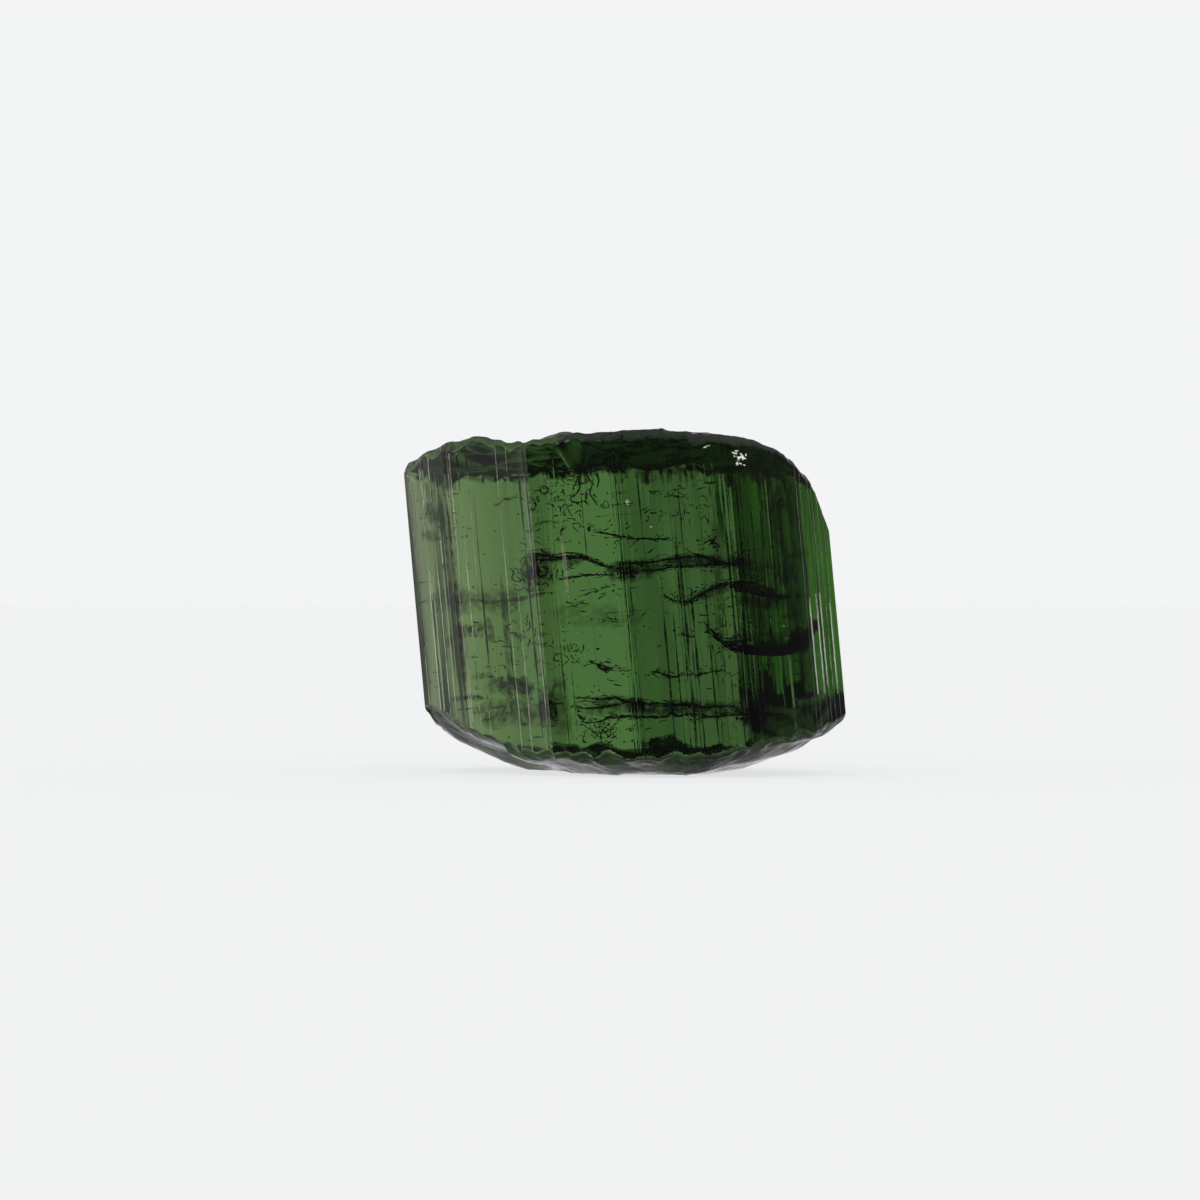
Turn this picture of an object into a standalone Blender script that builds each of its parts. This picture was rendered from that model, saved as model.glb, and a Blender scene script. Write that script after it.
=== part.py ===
"""A stout broken length of a green tourmaline crystal, standing on its lower break.

Tourmaline grows as a prism with a bulging three-sided section, ribbed along its length.
This piece has snapped across at both ends.  The prism is drawn in its own frame (x across,
y from front to back, z along the prism), with a cutter for each break.  All three then lean
together, the lowest point is worn flat, and the middle of the box comes above the origin.
"""
import math
import random

import bmesh
import bpy
from mathutils import Matrix, Vector, geometry, noise

MM = 0.001

# ---- driving dimensions, in millimetres and degrees ----
# Edges of the prism, counter-clockwise seen from above, starting at the left-hand edge.
PRISM_EDGES = [
    (-9.55, 8.3),
    (-7.67, 5.46),
    (-3.87, 1.79),
    (0.00, 0.0),
    (4.95, 0.48),
    (5.52, 0.7),
    (7.40, 1.57),
    (9.23, 4.28),
    (8.00, 10.1),
    (3.10, 13.5),
    (-0.65, 15.2),
    (-7.20, 14.5),
    (-8.65, 11.9),
]
FRONT_EDGES = PRISM_EDGES[:8]  # those in view from the front
PRISM_MIDDLE = (0.2, 7.2)
PRISM_REACH = 10.0  # the prism runs this far above and below its middle before it is broken
FACE_BULGE = 0.004  # how far the middle of a face stands out, per length of the face
RIB_WIDTH = (0.30, 0.85)  # narrowest and widest rib on a face
GROOVE_WIDTH = 0.55  # width of the groove between two ribs, per width of a rib
RIB_DEPTH = 0.03
STEP_DEPTH = 0.09  # now and then a groove is this deep
STEP_SHARE = 0.2
GROWTH = {"across": 2.4, "stretch": 3.3, "depth": 0.004}  # long shallow swellings of the wall

# Height of each break above the middle of the prism, along x, at the front.
TOP_BREAK = [
    (-9.4, 7.2), (-7.5, 7.85), (-5.9, 8.0), (-4.7, 7.62), (-3.8, 7.48), (-1.9, 7.65), (0.0, 7.52),
    (2.2, 7.48), (3.4, 7.28), (5.2, 6.85), (6.4, 6.55), (7.3, 6.02), (7.8, 5.72), (8.3, 5.2),
    (8.75, 4.4), (9.1, 3.4), (9.3, 2.4),
]
BOTTOM_BREAK = [
    (-9.4, -4.9), (-7.0, -6.0), (-5.1, -6.75), (-3.3, -7.15), (-1.6, -7.4), (0.5, -7.65),
    (2.7, -7.75), (4.5, -7.65), (6.7, -7.2), (8.1, -6.75), (9.3, -6.1),
]
FRONT_RIM = (0.3, 2.2)  # between these depths behind the wall the front rim's smoothness ends
DISH = {"fall": 0.44, "reach": 4.1, "rise": 0.02}  # per millimetre, down to this reach and up behind it
SHELF = {"edge": -2.4, "heading": -12, "fall": 0.12}  # left of this edge it falls less
BOTTOM_RISE = 0.0066  # rise of the lower break with the square of the distance from the foot's line
FOOT_BOWL = 0.008  # and with the square of the distance from the foot itself
BACK_SINK = {"left": (1.0, 6.0), "back": (7.0, 11.0), "depth": 1.0}  # lower at the back left
FOOT_EDGE = (3.2, 5.6)  # the lower break is smooth inside the first distance from the foot's middle
TOP_ORIGIN = (-3.4, 4.6)  # where each break started, and its ripples spread from
BOTTOM_ORIGIN = (2.0, 7.2)
RIPPLE_WIDTH = 0.75  # width of the first ripple, and they widen outwards
RIPPLE_HEIGHT = 0.09
HACKLE_HEIGHT = 0.32
# Steps in each break: a place on the step, the way down or up across it in degrees, its height.
TOP_LEDGES = [((-5.6, 9.0), 60, 0.22), ((2.2, 9.0), 62, 0.15), ((4.0, 5.0), 190, 0.1)]
BOTTOM_LEDGES = [((-4.9, 9.0), 165, 0.2), ((3.6, 12.0), 75, 0.4)]
LEDGE_WIDTH = 0.4
LEDGE_WAVE = {"across": 2.6, "reach": 0.8}  # a ledge wanders this far from a straight line
CHIP_WIDTH = 1.6
CHIP_REACH = 0.9  # how far in from the rim a chip goes
CHIP_DEPTH = {"top": 0.34, "bottom": 0.27}
CORNER_CHIP = {"at": (7.4, 1.3), "reach": 2.3, "depth": 0.8}

LEAN = 5.2  # the prism stands this far off upright, its top towards -x
FOOT_CUT = 0.22  # how much of the lowest point is worn away to the flat foot

# ---- how finely things are divided ----
BREAK_CELL = 0.52
SEAM = 0.002  # points nearer than this are made one where the cuts meet
WALL_CUTS = [-6.2, -4.4, -2.4, -0.4, 1.6, 3.6, 5.2, 6.4]


def along(points, x):
    """Height at x on the line through points."""
    if x <= points[0][0]:
        return points[0][1]
    for (x0, z0), (x1, z1) in zip(points, points[1:]):
        if x <= x1:
            return z0 + (z1 - z0) * (x - x0) / (x1 - x0)
    return points[-1][1]


def eased(value, low, high):
    """0 below low, 1 above high, and a smooth climb between them."""
    share = min(1.0, max(0.0, (value - low) / (high - low)))
    return share * share * (3 - 2 * share)


def rough(x, y, layer, size):
    """Smooth unevenness from -1 to 1 whose lumps are about size across. Each layer is another one."""
    return noise.noise(Vector((x / size, y / size, layer / size)))


def faces_of(edges):
    """Each prism face as its first and last edge."""
    return zip(edges, edges[1:] + edges[:1])


# ---- the ribbed prism ----

def face_ribs(start, end, draw):
    """Points along one prism face, each a rib's edge, from start up to but not including end."""
    start, end = Vector(start), Vector(end)
    length = (end - start).length
    out = Vector((end.y - start.y, start.x - end.x)) / length
    points = [start]
    travelled = draw.uniform(*RIB_WIDTH)
    on_rib = True
    while travelled < length - RIB_WIDTH[0]:
        share = travelled / length
        bulge = FACE_BULGE * length * 4 * share * (1 - share)
        deep = STEP_DEPTH if draw.random() < STEP_SHARE else RIB_DEPTH
        sunk = 0.0 if on_rib else deep * draw.uniform(0.5, 1.0)
        points.append(start.lerp(end, share) + out * (bulge - sunk))
        travelled += draw.uniform(*RIB_WIDTH) * (GROOVE_WIDTH if on_rib else 1.0)
        on_rib = not on_rib
    return points


def prism_outline():
    draw = random.Random(4)
    return [point for face in faces_of(PRISM_EDGES) for point in face_ribs(*face, draw)]


def dent(x, y, z):
    """How far the wall is sunk at a point, as a share of the way to the prism's middle."""
    return GROWTH["depth"] * rough(x, y, z / GROWTH["stretch"], GROWTH["across"])


def ribbed_prism():
    """The outline drawn up into a prism, with level cuts that let the wall dent."""
    bm = bmesh.new()
    base = bm.faces.new([bm.verts.new((p.x, p.y, -PRISM_REACH)) for p in prism_outline()])
    grown = bmesh.ops.extrude_face_region(bm, geom=[base])
    top = [item for item in grown["geom"] if isinstance(item, bmesh.types.BMVert)]
    bmesh.ops.translate(bm, verts=top, vec=(0, 0, 2 * PRISM_REACH))
    for height in WALL_CUTS:
        geom = bm.verts[:] + bm.edges[:] + bm.faces[:]
        bmesh.ops.bisect_plane(bm, geom=geom, plane_co=(0, 0, height), plane_no=(0, 0, 1))
    for vert in bm.verts:
        inward = dent(*vert.co)
        vert.co.x += (PRISM_MIDDLE[0] - vert.co.x) * inward
        vert.co.y += (PRISM_MIDDLE[1] - vert.co.y) * inward
    return bm


# ---- the two breaks ----

def rim_distance(x, y):
    """How far a point is from the nearest prism face."""
    point = Vector((x, y))
    nearest = PRISM_REACH
    for start, end in faces_of(PRISM_EDGES):
        on_face, share = geometry.intersect_point_line(point, Vector(start), Vector(end))
        if 0 <= share <= 1:
            nearest = min(nearest, (on_face.xy - point).length)
    return nearest


def ripples(x, y, origin):
    """Curved ripples that widen away from where a break started."""
    reach = math.hypot(x - origin[0], y - origin[1]) + 0.9 * rough(x, y, 3.0, 4.0)
    rings = math.sqrt(max(0.0, reach) / (RIPPLE_WIDTH / 2))
    return RIPPLE_HEIGHT * math.sin(2 * math.pi * rings) * eased(reach, 1.0, 3.0)


def ledge(x, y, place, heading, height):
    """A wavy step of this height through place, climbing along heading."""
    turn = math.radians(heading)
    ahead = (x - place[0]) * math.cos(turn) + (y - place[1]) * math.sin(turn)
    ahead += LEDGE_WAVE["reach"] * rough(x, y, 8.0, LEDGE_WAVE["across"])
    return height * eased(ahead, -LEDGE_WIDTH / 2, LEDGE_WIDTH / 2)


def rim_chips(x, y, layer, depth):
    """Scalloped bites along the rim, deepest on the outline itself."""
    near = 1 - eased(rim_distance(x, y), 0.0, CHIP_REACH)
    if near == 0:
        return 0.0
    middle_x, middle_y = PRISM_MIDDLE
    round_the_rim = math.atan2(y - middle_y, x - middle_x) * abs(PRISM_EDGES[0][0])
    scallop = abs(math.sin(math.pi * (round_the_rim / CHIP_WIDTH + rough(x, y, layer, 3.0))))
    return depth * near * scallop * (0.6 + 0.8 * rough(x, y, layer + 5.0, 2.2))


def dished(x, y, behind):
    """How far the upper break has fallen at a point this far behind its front rim."""
    behind = max(behind, 0.0)
    depth = DISH["fall"] * min(behind, DISH["reach"]) - DISH["rise"] * max(0.0, behind - DISH["reach"])
    on_shelf = SHELF["fall"] * behind
    off_shelf = ledge(x, y, (SHELF["edge"], 0.0), SHELF["heading"], 1.0)
    return on_shelf + (depth - on_shelf) * off_shelf


def top_height(x, y):
    behind = y - along(FRONT_EDGES, x)
    inside = eased(behind, *FRONT_RIM)
    height = along(TOP_BREAK, x) - dished(x, y, behind)
    height += inside * ripples(x, y, TOP_ORIGIN)
    height += (0.35 + 0.65 * inside) * HACKLE_HEIGHT * rough(x, y, 1.0, 2.6)
    height += inside * 0.4 * HACKLE_HEIGHT * rough(x, y, 2.0, 1.2)
    height += inside * sum(ledge(x, y, *step) for step in TOP_LEDGES)
    from_corner = math.hypot(x - CORNER_CHIP["at"][0], y - CORNER_CHIP["at"][1])
    height -= CORNER_CHIP["depth"] * (1 - eased(from_corner, 0.2, CORNER_CHIP["reach"])) * inside
    return height - (0.3 + 0.7 * inside) * rim_chips(x, y, 11.0, CHIP_DEPTH["top"])


def bottom_height(x, y):
    from_line = y - BOTTOM_ORIGIN[1]
    away = math.hypot(x - BOTTOM_ORIGIN[0], from_line)
    open_ground = eased(away, *FOOT_EDGE)
    height = along(BOTTOM_BREAK, x) + FOOT_BOWL * away * away
    height += BOTTOM_RISE * (from_line * from_line - BOTTOM_ORIGIN[1] ** 2)
    height -= BACK_SINK["depth"] * eased(-x, *BACK_SINK["left"]) * eased(y, *BACK_SINK["back"])
    height += open_ground * ripples(x, y, BOTTOM_ORIGIN)
    height += open_ground * 0.8 * HACKLE_HEIGHT * rough(x, y, 6.0, 2.3)
    height += sum(ledge(x, y, *step) for step in BOTTOM_LEDGES)
    return height + rim_chips(x, y, 17.0, CHIP_DEPTH["bottom"])


def break_cutter(name, height_of, away, cutters):
    """A block whose inner side is the broken surface. away is 1 above the prism and -1 below."""
    bm = bmesh.new()
    spans = [(min(side) - 1, max(side) + 1) for side in zip(*PRISM_EDGES)]
    sizes = [high - low for low, high in spans]
    middle = [(high + low) / 2 for low, high in spans]
    cells = [round(size / BREAK_CELL) for size in sizes]
    bmesh.ops.create_grid(bm, x_segments=cells[0], y_segments=cells[1], size=0.5)
    bmesh.ops.scale(bm, verts=bm.verts, vec=(*sizes, 1))
    bmesh.ops.translate(bm, verts=bm.verts, vec=(*middle, 0))
    surface = bm.verts[:]
    grown = bmesh.ops.extrude_face_region(bm, geom=bm.faces[:])
    for vert in surface:
        vert.co.z = height_of(vert.co.x, vert.co.y)
    for item in grown["geom"]:
        if isinstance(item, bmesh.types.BMVert):
            item.co.z = away * (PRISM_REACH + 2)
    return placed(name, bm, cutters)


# ---- putting it together ----

def placed(name, bm, group):
    """Turns a bmesh in the prism's frame into an object that leans, in metres."""
    bmesh.ops.triangulate(bm, faces=bm.faces[:])
    bmesh.ops.recalc_face_normals(bm, faces=bm.faces[:])
    bmesh.ops.rotate(bm, verts=bm.verts, matrix=Matrix.Rotation(math.radians(-LEAN), 3, "Y"))
    bmesh.ops.scale(bm, verts=bm.verts, vec=(MM, MM, MM))
    mesh = bpy.data.meshes.new(name)
    bm.to_mesh(mesh)
    bm.free()
    obj = bpy.data.objects.new(name, mesh)
    group.objects.link(obj)
    return obj


def cut_with(obj, cutter):
    cut = obj.modifiers.new(cutter.name, "BOOLEAN")
    cut.operation = "DIFFERENCE"
    cut.solver = "EXACT"
    cut.object = cutter
    cutter.hide_render = True
    cutter.display_type = "WIRE"


def worn_foot(bm):
    """Cuts the lowest point off level and brings the middle of the box above it to the origin."""
    floor = min(vert.co.z for vert in bm.verts) + FOOT_CUT * MM
    geom = bm.verts[:] + bm.edges[:] + bm.faces[:]
    cut = bmesh.ops.bisect_plane(
        bm, geom=geom, plane_co=(0, 0, floor), plane_no=(0, 0, 1), clear_inner=True
    )
    rim = [item for item in cut["geom_cut"] if isinstance(item, bmesh.types.BMEdge)]
    bmesh.ops.holes_fill(bm, edges=rim)
    middle = [(min(v.co[i] for v in bm.verts) + max(v.co[i] for v in bm.verts)) / 2 for i in (0, 1)]
    bmesh.ops.translate(bm, verts=bm.verts, vec=(-middle[0], -middle[1], -floor))


def drop_folded_faces(bm):
    """A rim point on a straight edge gives the foot and the wall the same thin triangle: both go."""
    seen, folded = {}, []
    for face in bm.faces:
        corners = frozenset(face.verts)
        if corners in seen:
            folded += [face, seen[corners]]
        seen[corners] = face
    bmesh.ops.delete(bm, geom=folded, context="FACES")


def green_tourmaline():
    material = bpy.data.materials.new("green_tourmaline")
    material.use_nodes = True
    shader = material.node_tree.nodes["Principled BSDF"]
    shader.inputs["Base Color"].default_value = (0.06, 0.17, 0.05, 1.0)
    shader.inputs["Roughness"].default_value = 0.08
    shader.inputs["Metallic"].default_value = 0.0
    shader.inputs["IOR"].default_value = 1.63
    return material


def group_named(name):
    group = bpy.data.collections.new(name)
    bpy.context.scene.collection.children.link(group)
    return group


def build():
    for obj in list(bpy.data.objects):
        bpy.data.objects.remove(obj, do_unlink=True)
    crystal = placed("tourmaline_crystal", ribbed_prism(), group_named("tourmaline"))
    cutters = group_named("cutters")
    cut_with(crystal, break_cutter("upper_break", top_height, 1, cutters))
    cut_with(crystal, break_cutter("lower_break", bottom_height, -1, cutters))

    graph = bpy.context.evaluated_depsgraph_get()
    bm = bmesh.new()
    bm.from_mesh(bpy.data.meshes.new_from_object(crystal.evaluated_get(graph)))
    worn_foot(bm)
    bmesh.ops.remove_doubles(bm, verts=bm.verts, dist=SEAM * MM)
    bmesh.ops.dissolve_degenerate(bm, edges=bm.edges[:], dist=SEAM * MM)
    bmesh.ops.triangulate(bm, faces=bm.faces[:])
    drop_folded_faces(bm)
    crystal.modifiers.clear()
    bm.to_mesh(crystal.data)
    bm.free()
    crystal.data.materials.append(green_tourmaline())


build()
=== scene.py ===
import math
import random

import bmesh
import bpy
import numpy as np
from mathutils import Matrix, Vector, noise


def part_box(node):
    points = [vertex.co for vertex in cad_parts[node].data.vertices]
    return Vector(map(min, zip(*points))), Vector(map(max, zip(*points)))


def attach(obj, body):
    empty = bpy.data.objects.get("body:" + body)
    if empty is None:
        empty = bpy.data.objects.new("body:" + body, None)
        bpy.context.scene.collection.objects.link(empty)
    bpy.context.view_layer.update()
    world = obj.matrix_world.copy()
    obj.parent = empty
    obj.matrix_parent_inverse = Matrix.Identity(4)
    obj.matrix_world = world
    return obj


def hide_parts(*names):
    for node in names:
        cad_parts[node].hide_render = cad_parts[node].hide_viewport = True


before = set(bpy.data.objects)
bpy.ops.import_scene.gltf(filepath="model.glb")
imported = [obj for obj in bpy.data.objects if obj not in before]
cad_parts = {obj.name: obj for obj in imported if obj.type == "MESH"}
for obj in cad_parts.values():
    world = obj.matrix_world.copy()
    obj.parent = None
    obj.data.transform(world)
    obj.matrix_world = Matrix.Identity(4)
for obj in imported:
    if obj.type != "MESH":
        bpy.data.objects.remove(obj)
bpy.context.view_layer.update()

mm = 0.001
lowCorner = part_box("tourmaline_crystal")[0]

studio = {
    "frameWidth": 52.4,  # how much of the world the picture shows at the crystal, in mm
    "lens": 150.0,
    "sensor": 36.0,
    "clip": (0.01, 50.0),  # nearest and farthest that the camera sees, in metres
    "aim": (-1.03, 7.77),  # where the camera looks, across and up, in mm
    "backdrop": 0.91,  # the pale backdrop as the camera sees it
    "light": [  # light round the room at eye level: degrees from the back towards +x,
        # level, and how much redder and bluer than plain it is
        (-180, 0.05, 1, 1), (-140, 0.05, 1, 1), (-119, 0.06, 1, 1), (-116, 1.3, 1.1, 1.0),
        (-111, 2.2, 1.15, 1.02), (-104, 2.8, 1.15, 1.02), (-98, 0.8, 1.1, 1.05), (-91, 0.28, 1, 1),
        (-80, 0.35, 1, 1), (-65, 0.42, 1, 1), (-52, 0.4, 0.95, 0.95), (-39, 0.62, 0.95, 0.95),
        (-22, 0.62, 1.0, 1.06), (-9, 0.9, 1.03, 1.12), (0, 1.15, 1.06, 1.15), (14, 1.05, 1.14, 1.13),
        (21, 0.72, 1.16, 1.13), (36, 0.95, 1.2, 1.08), (51, 0.52, 1.25, 1.15), (60, 0.1, 1.1, 1.05),
        (68, 0.07, 1, 1), (90, 0.12, 1, 1), (128, 0.09, 1, 1), (145, 0.06, 1, 1), (180, 0.05, 1, 1),
    ],
    "heights": [  # light above and below that ring: sine of the height, level
        (-1.0, 0.2), (-0.75, 0.2), (-0.55, 0.26), (-0.42, 0.45), (-0.2, 0.55), (0.2, 0.3), (0.45, 0.3),
        (0.8, 0.42), (1.0, 0.42),
    ],
    "ringHeight": (0.15, 0.26),  # the ring's light ends between these two sines
    "tint": (0.985, 0.995, 1.0, 1.0),
    "floorColour": (0.45, 0.452, 0.455),
    "floorRadius": 6.0,  # in metres
    "floorGlow": {"seen": 0.72, "other": 0.3},
    "streakStrip": {  # makes the bright lines on the right; sizes and places in mm
        "shape": "ELLIPSE", "size": (8.5, 7.0), "level": 4.2, "colour": (1, 1, 0.95),
        "place": (123.4, 21.5, 14.7), "aim": (8.3, -3.0, 6.0),
    },
    "leftCard": {  # lights the right side from the left
        "shape": "RECTANGLE", "size": (18.0, 60.0), "level": 1.4, "colour": (1.0, 0.72, 0.8),
        "place": (-56.6, -31.8, 2.0), "aim": (-9.0, 3.0, 6.0),
    },
}


def addObject(name, data):
    obj = bpy.data.objects.new(name, data)
    bpy.context.scene.collection.objects.link(obj)
    return obj


def meshFrom(bm, name):
    mesh = bpy.data.meshes.new(name)
    bm.to_mesh(mesh)
    bm.free()
    return mesh


def newMaterial(name):
    material = bpy.data.materials.new(name)
    material.use_nodes = True
    return material, material.node_tree, material.node_tree.nodes["Principled BSDF"]


def fill(tree, node, inputs):  # each input gets a plain value or another node's output
    for name, value in inputs.items():
        if isinstance(value, bpy.types.NodeSocket):
            tree.links.new(value, node.inputs[name])
        else:
            node.inputs[name].default_value = value


def addNode(tree, kind, inputs, **settings):
    node = tree.nodes.new(kind)
    for name, setting in settings.items():
        setattr(node, name, setting)
    fill(tree, node, inputs)
    return node


def mathNode(tree, operation, *values, clamp=False):
    inputs = dict(enumerate(values))
    return addNode(tree, "ShaderNodeMath", inputs, operation=operation, use_clamp=clamp).outputs[0]


def rangeNode(tree, *values):  # the value, then from and to: low, high, low, high
    inputs = dict(zip(("Value", "From Min", "From Max", "To Min", "To Max"), values))
    return addNode(tree, "ShaderNodeMapRange", inputs, interpolation_type="SMOOTHSTEP").outputs["Result"]


def noiseNode(tree, where, scale, detail):
    inputs = {"Vector": where, "Scale": scale, "Detail": detail}
    return addNode(tree, "ShaderNodeTexNoise", inputs).outputs["Fac"]


def mixColour(tree, share, first, second):  # its colours are inputs 6 and 7 and output 2
    mix = addNode(tree, "ShaderNodeMix", {"Factor": share, 6: first, 7: second}, data_type="RGBA")
    return mix.outputs[2]


def lightRamp(tree, value, stops):  # stops of place from 0 to 1, level, red and blue share
    ramp = addNode(tree, "ShaderNodeValToRGB", {"Fac": value})
    elements = ramp.color_ramp.elements
    elements.remove(elements[-1])
    for place, level, red, blue in stops:
        stop = elements[0] if place == stops[0][0] else elements.new(place)
        stop.position = place
        stop.color = (level * red, level, level * blue, 1)
    return ramp.outputs["Color"]


def buildCamera():
    data = bpy.data.cameras.new("studioCamera")
    data.lens = studio["lens"]
    data.sensor_width = studio["sensor"]
    data.clip_start, data.clip_end = studio["clip"]
    camera = addObject("studioCamera", data)
    away = studio["frameWidth"] * studio["lens"] / studio["sensor"] * mm
    across, up = studio["aim"]
    camera.location = (across * mm, lowCorner.y - away, up * mm)
    camera.rotation_euler = (math.radians(90), 0, 0)
    bpy.context.scene.camera = camera


def buildWorld():
    world = bpy.data.worlds.new("studioWorld")
    world.use_nodes = True
    bpy.context.scene.world = world
    tree = world.node_tree
    where = tree.nodes.new("ShaderNodeTexCoord").outputs["Generated"]
    x, y, z = addNode(tree, "ShaderNodeSeparateXYZ", {0: where}).outputs
    turn = mathNode(tree, "MULTIPLY_ADD", mathNode(tree, "ARCTAN2", x, y), 0.5 / math.pi, 0.5)
    ring = lightRamp(tree, turn, [(degrees / 360 + 0.5, *rest) for degrees, *rest in studio["light"]])
    height = mathNode(tree, "MULTIPLY_ADD", z, 0.5, 0.5)
    around = lightRamp(tree, height, [(sine / 2 + 0.5, level, 1, 1) for sine, level in studio["heights"]])
    offRing = rangeNode(tree, mathNode(tree, "ABSOLUTE", z), *studio["ringHeight"], 0.0, 1.0)
    light = mixColour(tree, offRing, ring, around)
    seen = tree.nodes.new("ShaderNodeLightPath").outputs["Is Camera Ray"]
    backdrop = tuple(studio["backdrop"] * share for share in studio["tint"][:3]) + (1,)
    fill(tree, tree.nodes["Background"], {"Color": mixColour(tree, seen, light, backdrop), "Strength": 1.0})


def buildFloor():
    bm = bmesh.new()
    bmesh.ops.create_circle(bm, cap_ends=True, segments=96, radius=studio["floorRadius"])
    floor = addObject("studioFloor", meshFrom(bm, "studioFloor"))
    material, tree, shader = newMaterial("paleFloor")
    seen = tree.nodes.new("ShaderNodeLightPath").outputs["Is Camera Ray"]
    glow = studio["floorGlow"]
    fill(tree, shader, {
        "Base Color": (*studio["floorColour"], 1), "Roughness": 1.0, "Specular IOR Level": 0.0,
        "Emission Color": studio["tint"],
        "Emission Strength": rangeNode(tree, seen, 0.0, 1.0, glow["other"], glow["seen"]),
    })
    floor.visible_glossy = False
    floor.visible_transmission = False
    floor.data.materials.append(material)


def addLamp(name):
    # A small panel whose face has this level; only the crystal picks it up.
    panel = studio[name]
    data = bpy.data.lights.new(name, "AREA")
    data.shape = panel["shape"]
    data.size, data.size_y = (side * mm for side in panel["size"])
    data.color = panel["colour"]
    area = data.size * data.size_y * (math.pi / 4 if panel["shape"] == "ELLIPSE" else 1)
    data.energy = panel["level"] * area * math.pi
    lamp = addObject(name, data)
    lamp.location = Vector(panel["place"]) * mm
    lamp.rotation_euler = (Vector(panel["aim"]) * mm - lamp.location).to_track_quat("-Z", "Y").to_euler()
    lamp.visible_camera = False
    lamp.visible_diffuse = False
    return lamp


bpy.context.scene.view_settings.view_transform = "Standard"
buildCamera()
buildWorld()
buildFloor()
addLamp("streakStrip").visible_transmission = False
addLamp("leftCard")
print("studio ready")

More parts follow.
